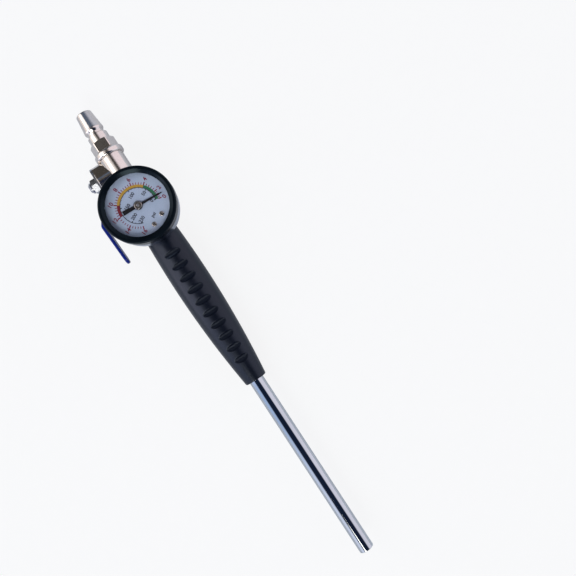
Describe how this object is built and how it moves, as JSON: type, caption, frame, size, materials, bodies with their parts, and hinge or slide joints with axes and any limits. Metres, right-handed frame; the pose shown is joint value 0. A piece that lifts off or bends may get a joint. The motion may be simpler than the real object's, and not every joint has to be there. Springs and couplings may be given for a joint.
{
  "type": "tire inflator gauge",
  "caption": "Tire inflator gauge: air plug, ball valve with blue lever, dial gauge, black grip and straight chromed tube.",
  "frame": {"origin": "centre of the delivery tube's open mouth", "axes": "+Y along the tube towards the air plug, +Z out of the dial, the valve lever on the -X side"},
  "size_m": [0.0485, 0.3055, 0.044],
  "materials": {
    "nickel": "nickel plating, polished",
    "seat_plastic": "white fluoroplastic",
    "ball_chrome": "polished",
    "steel": "zinc plated",
    "seal_rubber": "black nitrile",
    "blue_vinyl": "dipped blue vinyl",
    "tube_chrome": "chrome plating",
    "grip_black": "moulded, satin",
    "brass": "machined",
    "bronze": "drawn",
    "case_steel": "bright steel",
    "bezel_black": "gloss black",
    "window_clear": "clear",
    "dial_print": "printed, satin",
    "pointer_black": "matt black"
  },
  "bodies": {
    "body": {"air_plug": "nickel", "valve_body": "nickel", "valve_seats": "seat_plastic", "tee_block": "nickel", "delivery_tube": "tube_chrome", "grip": "grip_black", "gauge_socket": "brass", "gauge_case": "case_steel", "gauge_bezel": "bezel_black", "gauge_window": "window_clear", "window_gasket": "seal_rubber", "dial_plate": "dial_print", "dial_screws": "steel", "case_screws": "steel", "hairspring": "bronze", "bourdon_tube": "bronze", "tube_tip": "brass", "movement_back_plate": "brass", "movement_front_plate": "brass", "movement_pillars": "brass", "movement_screws": "steel"},
    "valve_lever": {"valve_ball": "ball_chrome", "valve_stem": "steel", "stem_seal": "seal_rubber", "lever_plate": "steel", "lever_sleeve": "blue_vinyl", "lever_nut": "steel"},
    "sector": {"sector_gear": "brass"},
    "pointer": {"pointer": "pointer_black", "pointer_hub": "nickel", "pointer_arbor": "steel"},
    "link": {"drive_link": "brass"}
  },
  "joints": [
    {"name": "valve_turn", "type": "hinge", "parent": "body", "child": "valve_lever", "pos_m": [0, 0.2651, 0], "axis": [-1, 0, 0], "range_deg": [0, 90]},
    {"name": "sector_swing", "type": "hinge", "parent": "body", "child": "sector", "pos_m": [-0.01026, 0.23901, 0.0196], "axis": [0, 0, 1], "range_deg": [-31.75, 1.26], "stiffness_Nm_per_rad": 0.004},
    {"name": "pointer_turn", "type": "hinge", "parent": "body", "child": "pointer", "pos_m": [0, 0.2344, 0.0285], "axis": [0, 0, 1], "range_deg": [-10.1, 254.1]},
    {"name": "link_turn", "type": "hinge", "parent": "sector", "child": "link", "pos_m": [-0.01211, 0.23491, 0.0196], "axis": [0, 0, 1], "range_deg": [-1.3, 31.8]}
  ],
  "couplings": [
    {"joint": "pointer_turn", "follows": "sector_swing", "ratio": -8},
    {"joint": "link_turn", "follows": "sector_swing", "ratio": -1}
  ]
}
